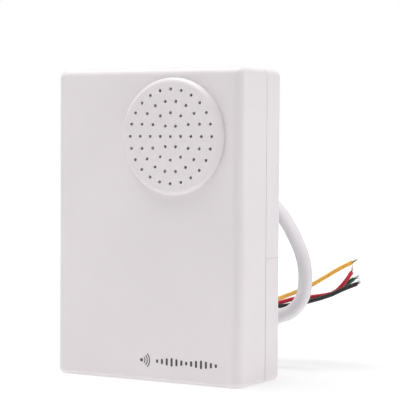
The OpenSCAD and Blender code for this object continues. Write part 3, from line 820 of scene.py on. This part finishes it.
def smooth_curve(name: str, route: Sequence[Point], diameter: float) -> bpy.types.Object:
    """Make a round cord through a route, as one smooth open spline.

    Args:
        name: the piece's name.
        route: points of the centreline, mm.
        diameter: the cord's diameter, mm.

    Returns:
        A curve object with its thickness.
    """
    curve = bpy.data.curves.new(name, "CURVE")
    curve.dimensions = "3D"
    curve.bevel_depth = diameter / 2 * MM
    curve.bevel_resolution = CORD_ROUNDNESS
    curve.resolution_u = CORD_STEPS
    curve.use_fill_caps = True
    spline = curve.splines.new("BEZIER")
    spline.bezier_points.add(len(route) - 1)
    points = [Vector(p) * MM for p in route]
    last = len(points) - 1
    for i, (knot, point) in enumerate(zip(spline.bezier_points, points)):
        lean = (points[min(i + 1, last)] - points[max(i - 1, 0)]) / HANDLE_PARTS
        knot.handle_left_type = knot.handle_right_type = "FREE"
        knot.co = point
        knot.handle_left = point - lean
        knot.handle_right = point + lean
    piece = bpy.data.objects.new(name, curve)
    bpy.context.scene.collection.objects.link(piece)
    return piece


@dataclass
class Lead:
    """White sheathed lead that leaves the back, loops once and ends in four bare cores.

    Attributes:
        sheath_d: diameter of the sheath, mm.
        core_d: diameter of a core, mm.
        sheath_length: real length of the sheath, with its short stretch inside the box, mm. Not used.
        strand_d: diameter of one copper strand, mm.
        strand_sides: sides of a strand.
        strands: strands in each core.
        tucked: how far the strands reach back into the insulation, mm.
        ragged: step by which the strands' tips differ, mm.
        tips: number of different places for the strands' tips.
        sheath_route: points of the sheath's centreline, mm.
        cores: the four cores.
    """

    sheath_d: float = 6.0
    core_d: float = 1.8
    sheath_length: float = 260.0
    strand_d: float = 0.22
    strand_sides: int = 6
    strands: int = 7
    tucked: float = 0.4
    ragged: float = 0.25
    tips: int = 3
    sheath_route: tuple[Point, ...] = (
        (-7.61, 6.25, 59.5), (-7.61, 14.2, 59.5), (-7.61, 23.2, 59.5), (-7.61, 32.2, 58),
        (-7.61, 39.7, 53), (-7.11, 44.7, 45.5), (-6.5, 46.7, 36), (-2.4, 47.2, 26.5),
        (4.6, 47.2, 20), (13.6, 47.2, 18), (22, 47.2, 19.5), (28.9, 47.2, 22.1),
        (33.9, 47.7, 24.2), (37.9, 48.2, 28.6), (39.4, 49.2, 33.8), (38.8, 50.7, 41.3),
        (36.4, 52.2, 48.5), (31.2, 54.2, 57), (24.6, 55.7, 65.3), (16.1, 56.7, 72.5),
        (6.6, 57.2, 76), (-3.5, 58.2, 74.5), (-12.5, 59.2, 68), (-17.5, 59.7, 58.5),
        (-18.6, 60.2, 48), (-15.6, 61.2, 37.9), (-8.5, 61.7, 29.9), (1, 62.2, 25),
        (11.5, 62.7, 23.5),
    )
    cores: tuple[Core, ...] = (
        Core(
            "yellow",
            CORE_YELLOW,
            route=(
                (11.5, 61.77, 24.43), (16.3, 61.8, 25.8), (20.9, 62.2, 27.9), (29.1, 62.7, 31.2),
                (36.6, 62.7, 34.7), (42.6, 62.7, 38.2), (49.1, 62.7, 42), (55.2, 62.7, 45.1),
            ),
            length=48.5,
            bare=((55.2, 62.7, 45.1), (58, 62.7, 46.6)),
            fan=0.25,
        ),
        Core(
            "red",
            CORE_RED,
            route=(
                (11.5, 63.63, 24.43), (15.6, 64.2, 24.7), (19.5, 64.9, 25.7), (26.8, 65.4, 27.8),
                (34.8, 65.4, 29), (42.8, 65.4, 30.5), (46.8, 65.4, 32.3), (51.1, 65.4, 36.8),
                (53.8, 65.4, 40.7),
            ),
            length=47.5,
            bare=((53.8, 65.4, 40.7), (54.2, 65.4, 43.9)),
            fan=0.05,
        ),
        Core(
            "black",
            CORE_BLACK,
            route=(
                (11.5, 61.77, 22.57), (16.5, 62.4, 23.6), (20.6, 63, 24.4), (24.5, 63.4, 25),
                (34.5, 63.4, 27.2), (44.4, 63.4, 30.4), (50.9, 63.4, 33.4), (57, 63.4, 35.9),
            ),
            length=47.7,
            bare=((57, 63.4, 35.9), (59.3, 63.4, 37.6)),
            fan=0.9,
        ),
        Core(
            "green",
            CORE_GREEN,
            route=(
                (11.5, 63.63, 22.57), (14.9, 64.6, 21.3), (19.5, 66.2, 22), (26.4, 67.3, 24.6),
                (33.8, 67.3, 27.1), (40.4, 67.3, 29.2), (47.4, 67.3, 33), (53.9, 67.3, 37.6),
            ),
            length=47.0,
            bare=((53.9, 67.3, 37.6), (57.4, 67.3, 39.1)),
            fan=0.9,
        ),
    )

    def build(self, palette: Palette) -> None:
        """Make the sheath, the cores and their bare strands, and dress the wires inside.

        Args:
            palette: materials.
        """
        sheath = smooth_curve("lead_sheath", self.sheath_route, self.sheath_d)
        palette.dress_riding(sheath, SHEATH_PVC, Body.CASE)
        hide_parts("cable_sheath")
        for core in self.cores:
            self._core(palette, core)
            palette.dress(f"inner_{core.colour}", core.finish)

    def _core(self, palette: Palette, core: Core) -> None:
        """Make one core and its strands.

        Args:
            palette: materials.
            core: which core.
        """
        piece = smooth_curve(f"lead_core_{core.colour}", core.route, self.core_d)
        palette.dress_riding(piece, core.finish, Body.CASE)
        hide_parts(f"core_{core.colour}")
        strands = self._strands(core)
        palette.dress_riding(strands, TINNED_STRAND, Body.CASE)
        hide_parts("bare_ends")

    def _strands(self, core: Core) -> bpy.types.Object:
        """Make the bare strands of a core: one in the middle and a ring that fans out.

        Args:
            core: whose end it is.

        Returns:
            The new piece.
        """
        start, tip = (Vector(p) * MM for p in core.bare)
        along = (tip - start).normalized()
        side = along.cross(Vector((0, 1, 0))).normalized()
        bm = bmesh.new()
        for i in range(self.strands):
            turn = Matrix.Rotation(math.tau * i / (self.strands - 1), 3, along)
            out = turn @ side * (0.0 if i == self.strands - 1 else 1.0)
            near = out * self.strand_d * MM
            far = near + out * core.fan * MM
            short = along * (self.ragged * MM * (i % self.tips))
            middle = (start + tip) / 2 + (near + far) / 2
            points = [start - along * self.tucked * MM + near, middle, tip + far - short]
            sweep(bm, points, self.strand_d / 2 * MM, self.strand_sides)
        return mesh_piece(f"bare_strands_{core.colour}", bm, smooth=True)


@dataclass
class FlexRing:
    """Soft ring that flexes between the basket and the cone, cut into sectors.

    Each sector is cut along its own radius, and there are many. Wide sectors would bend into a
    polygon, so there are many.

    Attributes:
        node: the ring's solid.
        finish: what it is made of.
        sectors: number of equal sectors.
        moving_r: radius up to which the ring moves with the cone, mm. Not used.
        still_r: radius from which it stays with the basket, mm. Not used.
        crease_deg: least angle between faces that reads as an edge.
    """

    node: str
    finish: Finish
    sectors: int
    moving_r: float
    still_r: float
    crease_deg: float = 35.0

    def build(self, palette: Palette) -> None:
        """Make the sectors and dress each.

        Args:
            palette: materials.
        """
        low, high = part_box(self.node)
        middle = (low + high) / 2
        half = math.pi / self.sectors
        for i in range(self.sectors):
            heading = 2 * half * i
            piece = self._sector(f"{self.node}_sector_{i + 1}", middle, heading - half, heading + half)
            palette.dress_new(piece, self.finish)
            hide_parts(self.node)
            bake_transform(piece)

    def _sector(self, name: str, middle: Vector, first: float, last: float) -> bpy.types.Object:
        """Cut one closed sector out of a copy of the ring.

        Args:
            name: the piece's name.
            middle: a point on the loudspeaker's axis.
            first: angle of the sector's first side.
            last: angle of its last side.

        Returns:
            The new piece.
        """
        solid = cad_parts[self.node]
        bm = bmesh.new()
        bm.from_mesh(solid.data)
        bmesh.ops.transform(bm, matrix=solid.matrix_world, verts=bm.verts)
        bmesh.ops.remove_doubles(bm, verts=bm.verts, dist=WELD * MM)
        for angle, outward in ((first, -1), (last, 1)):
            normal = Vector((-math.sin(angle), 0, math.cos(angle))) * outward
            cut = bmesh.ops.bisect_plane(
                bm,
                geom=[*bm.verts, *bm.edges, *bm.faces],
                dist=WELD * MM,
                plane_co=middle,
                plane_no=normal,
                clear_outer=True,
            )
            rim = [g for g in cut["geom_cut"] if isinstance(g, bmesh.types.BMEdge)]
            bmesh.ops.triangle_fill(bm, edges=rim, use_beauty=True)
        bmesh.ops.recalc_face_normals(bm, faces=bm.faces)
        for edge in bm.edges:
            edge.smooth = edge.calc_face_angle(math.pi) < math.radians(self.crease_deg)
        return mesh_piece(name, bm, smooth=True)


@dataclass
class Loudspeaker:
    """Small moving-coil loudspeaker behind the grille.

    Attributes:
        flexing: the surround and the spider, which bend as the cone moves.
    """

    flexing: tuple[FlexRing, ...] = (
        FlexRing("cone_surround", SURROUND_RUBBER, sectors=16, moving_r=14.6, still_r=17.3),
        FlexRing("speaker_spider", SPIDER_CLOTH, sectors=16, moving_r=7.2, still_r=10.3),
    )

    def build(self, palette: Palette) -> None:
        """Dress every piece of the loudspeaker and its two leads.

        Args:
            palette: materials.
        """
        finishes = {
            "speaker_basket": ZINC_STEEL,
            "speaker_yoke": ZINC_STEEL,
            "speaker_magnet": FERRITE,
            "speaker_top_plate": ZINC_STEEL,
            "speaker_cone": CONE_PAPER,
            "dust_cap": CONE_PAPER,
            "voice_coil": COIL_COPPER,
            "speaker_gasket": GASKET_FOAM,
            "speaker_terminal": PHENOLIC,
            "speaker_tags": TINNED,
            "speaker_screws": ZINC_STEEL,
            "speaker_lead_red": CORE_RED,
            "speaker_lead_black": CORE_BLACK,
        }
        for node, finish in finishes.items():
            palette.dress(node, finish)
        for ring in self.flexing:
            ring.build(palette)


@dataclass
class ChimeBoard:
    """Board with the chime chip, beside the loudspeaker.

    Attributes:
        diode_bands: start of each band on a diode as a share of its length, and its colour.
        resistor_bands: the same on a resistor.
    """

    diode_bands: Bands = ((0, "#1E1E21"), (0.72, "#C9CBCE"), (0.86, "#1E1E21"))
    resistor_bands: Bands = (
        (0, "#CDB08A"), (0.16, "#7A3B1E"), (0.26, "#CDB08A"), (0.36, "#23201F"), (0.46, "#CDB08A"),
        (0.56, "#A52A22"), (0.66, "#CDB08A"), (0.8, "#B88A2E"), (0.9, "#CDB08A"),
    )

    def build(self, palette: Palette) -> None:
        """Dress the board and what is soldered to it.

        Args:
            palette: materials.
        """
        finishes = {
            "circuit_board": BOARD_MASK,
            "chime_chip": CHIP_EPOXY,
            "chip_pins": TINNED,
            "capacitors": CAN_SLEEVE,
            "transistors": CHIP_EPOXY,
            "component_legs": TINNED,
            "diodes": self._banded("diodes", "Moulded epoxy diode", "chip_black", self.diode_bands),
            "resistors": self._banded(
                "resistors", "Lacquered carbon film tan", "resistor_tan", self.resistor_bands
            ),
            "cable_header": HEADER_NYLON,
            "speaker_header": HEADER_NYLON,
            "board_screws": ZINC_STEEL,
        }
        for node, finish in finishes.items():
            palette.dress(node, finish)

    @staticmethod
    def _banded(node: str, name: str, slot: str, bands: Bands) -> BandedFinish:
        """Glossy finish for bodies that lie along Z, with bands placed between their ends.

        Args:
            node: the bodies' solid.
            name: the finish's name.
            slot: the record's slot for it.
            bands: start of each band as a share of the length, and its colour.

        Returns:
            The finish.
        """
        low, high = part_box(node)
        first = bands[0][1]
        return BandedFinish(
            name, slot, first, first,
            mottle_mm=2, grain_mm=0.3, grain_deep_mm=0.003, roughness=0.35, coat=0.3,
            low_m=low.z, high_m=high.z, bands=bands,
        )


@dataclass
class SoftBox:
    """One soft lamp.

    Attributes:
        name: what the lamp does.
        place: where it stands, metres.
        aim: what it points at, metres.
        size: width and height, metres.
        watts: its power.
    """

    name: str
    place: Point
    aim: Point
    size: tuple[float, float]
    watts: float

    def build(self) -> None:
        """Make the lamp."""
        lamp = bpy.data.lights.new(self.name, "AREA")
        lamp.shape = "RECTANGLE"
        lamp.size, lamp.size_y = self.size
        lamp.energy = self.watts
        holder = bpy.data.objects.new(self.name, lamp)
        holder.visible_camera = False
        holder.location = self.place
        holder.rotation_mode = "QUATERNION"
        holder.rotation_quaternion = (Vector(self.aim) - Vector(self.place)).to_track_quat("-Z", "Y")
        bpy.context.scene.collection.objects.link(holder)


@dataclass
class Studio:
    """Camera at the photograph's place, soft lamps, pale floor and white surroundings.

    Attributes:
        target: what the camera looks at, mm.
        distance: from the camera to the target, mm.
        azimuth_deg: turn of the camera to the right of the front.
        elevation_deg: height of the camera above the target.
        roll_deg: turn of the camera about its own axis.
        lens: focal length, mm.
        picture_w: width of the picture that the focal length is for, mm.
        clip: nearest and farthest distance that the camera shows, metres.
        floor_size: width of the floor, metres.
        floor_colour: the floor's colour in the light that it sends back to the part.
        floor_roughness: the floor's roughness.
        paper_colour: the floor's colour where it is seen, on top of its glow.
        shadow_reach: distances from the middle between which the floor's glow rises to full white,
            metres.
        shadow_glow: the floor's glow under the part, so that shadows show there.
        ambient: strength of the light from all round.
        floor_light: strength of the light that comes up from the floor, as from a light table.
        lamps: the soft lamps.
    """

    target: Point = (16.334, 0.0, 72.404)
    distance: float = 633.48
    azimuth_deg: float = 29.664
    elevation_deg: float = 2.059
    roll_deg: float = 0.353
    lens: float = 141.97
    picture_w: float = 36.0
    clip: tuple[float, float] = (0.01, 100.0)
    floor_size: float = 12.0
    floor_colour: str = "#E8E8E8"
    floor_roughness: float = 0.9
    paper_colour: str = "#A6A6A6"
    shadow_reach: tuple[float, float] = (0.1, 0.7)
    shadow_glow: float = 0.62
    ambient: float = 0.17
    floor_light: float = 0.46
    lamps: tuple[SoftBox, ...] = (
        SoftBox("lamp_top", place=(-0.1, -0.1, 0.9), aim=(0.0, 0.0, 0.06), size=(0.7, 0.6), watts=8.3),
        SoftBox("lamp_right", place=(0.9, 0.35, 0.3), aim=(0.0, 0.0, 0.06), size=(0.5, 0.6), watts=2.95),
        SoftBox("lamp_left", place=(-0.65, -0.75, 0.2), aim=(0.0, 0.0, 0.05), size=(0.6, 0.4), watts=0.62),
    )

    def camera(self) -> None:
        """Make the camera and set it as the scene's."""
        az, el, roll = (math.radians(a) for a in (self.azimuth_deg, self.elevation_deg, self.roll_deg))
        back = Vector((math.sin(az) * math.cos(el), -math.cos(az) * math.cos(el), math.sin(el)))
        level_right = (-back).cross(Vector((0, 0, 1))).normalized()
        level_up = level_right.cross(-back)
        right = level_right * math.cos(roll) + level_up * math.sin(roll)
        up = level_up * math.cos(roll) - level_right * math.sin(roll)
        lens = bpy.data.cameras.new("camera")
        lens.sensor_width = self.picture_w
        lens.lens = self.lens
        lens.clip_start, lens.clip_end = self.clip
        holder = bpy.data.objects.new("camera", lens)
        turn = Matrix((right, up, back)).transposed().to_4x4()
        stand = (Vector(self.target) + back * self.distance) * MM
        holder.matrix_world = Matrix.Translation(stand) @ turn
        bpy.context.scene.collection.objects.link(holder)
        bpy.context.scene.camera = holder

    def build(self) -> None:
        """Make the lamps, the floor and the surroundings."""
        for lamp in self.lamps:
            lamp.build()
        self._floor()
        self._surroundings()
        bpy.context.scene.view_settings.view_transform = "Standard"

    def _seen(self, tree: Tree) -> Socket:
        """Share that is one for rays that show the background.

        Args:
            tree: nodes of the floor or the surroundings.

        Returns:
            Value socket.
        """
        rays = add_node(tree, "ShaderNodeLightPath").outputs
        shown = rays["Is Camera Ray"]
        for other in ("Is Glossy Ray", "Is Transmission Ray"):
            both = add_node(tree, "ShaderNodeMath", {"operation": "MAXIMUM"}, {0: shown, 1: rays[other]})
            shown = both.outputs[0]
        return shown

    def _floor(self) -> None:
        """Make a pale floor that reads white and still takes a soft shadow."""
        bm = bmesh.new()
        bmesh.ops.create_grid(bm, x_segments=1, y_segments=1, size=self.floor_size / 2)
        floor = mesh_piece("floor", bm, smooth=False)
        floor.data.materials.append(self._paper())

    def _paper(self) -> bpy.types.Material:
        """Make the floor's paper, which glows where it is seen and lights the part from below.

        Returns:
            The new material.
        """
        made = bpy.data.materials.new("Matt white paper sweep")
        made.use_nodes = True
        tree = made.node_tree
        shader = tree.nodes["Principled BSDF"]
        shader.inputs["Base Color"].default_value = linear(self.floor_colour)
        shader.inputs["Roughness"].default_value = self.floor_roughness
        shader.inputs["Emission Color"].default_value = linear(WHITE)
        shader.inputs["Emission Strength"].default_value = self.floor_light
        place = add_node(tree, "ShaderNodeTexCoord").outputs["Object"]
        away = add_node(tree, "ShaderNodeVectorMath", {"operation": "LENGTH"}, {0: place})
        near, far = self.shadow_reach
        strength = add_node(
            tree,
            "ShaderNodeMapRange",
            {
                "interpolation_type": "SMOOTHSTEP",
                "From Min": near,
                "From Max": far,
                "To Min": self.shadow_glow,
                "To Max": 1.0,
            },
            {"Value": away.outputs["Value"]},
        )
        glow = add_node(
            tree, "ShaderNodeEmission", {"Color": linear(WHITE)}, {"Strength": strength.outputs["Result"]}
        )
        paper = add_node(tree, "ShaderNodeBsdfDiffuse", {"Color": linear(self.paper_colour)})
        lit = add_node(tree, "ShaderNodeAddShader", links={0: glow.outputs[0], 1: paper.outputs[0]})
        mix = add_node(
            tree,
            "ShaderNodeMixShader",
            links={0: self._seen(tree), 1: shader.outputs[0], 2: lit.outputs[0]},
        )
        tree.links.new(mix.outputs[0], tree.nodes["Material Output"].inputs["Surface"])
        return made

    def _surroundings(self) -> None:
        """Make the surroundings: white where they are seen, even grey light elsewhere."""
        world = bpy.data.worlds.new("white_room")
        world.use_nodes = True
        tree = world.node_tree
        seen = add_node(tree, "ShaderNodeBackground", {"Color": linear(WHITE), "Strength": 1.0})
        light = tree.nodes["Background"]
        light.inputs["Color"].default_value = linear(WHITE)
        light.inputs["Strength"].default_value = self.ambient
        mix = add_node(
            tree,
            "ShaderNodeMixShader",
            links={0: self._seen(tree), 1: light.outputs[0], 2: seen.outputs[0]},
        )
        tree.links.new(mix.outputs[0], tree.nodes["World Output"].inputs["Surface"])
        bpy.context.scene.world = world


def main() -> None:
    """Build the camera, the lead, the case, what is inside it, and the studio."""
    logging.basicConfig(level=logging.INFO, format="%(name)s: %(message)s")
    palette = Palette()
    studio = Studio()
    studio.camera()
    Lead().build(palette)
    Case().build(palette)
    Loudspeaker().build(palette)
    ChimeBoard().build(palette)
    studio.build()


if __name__ == "__main__":
    main()
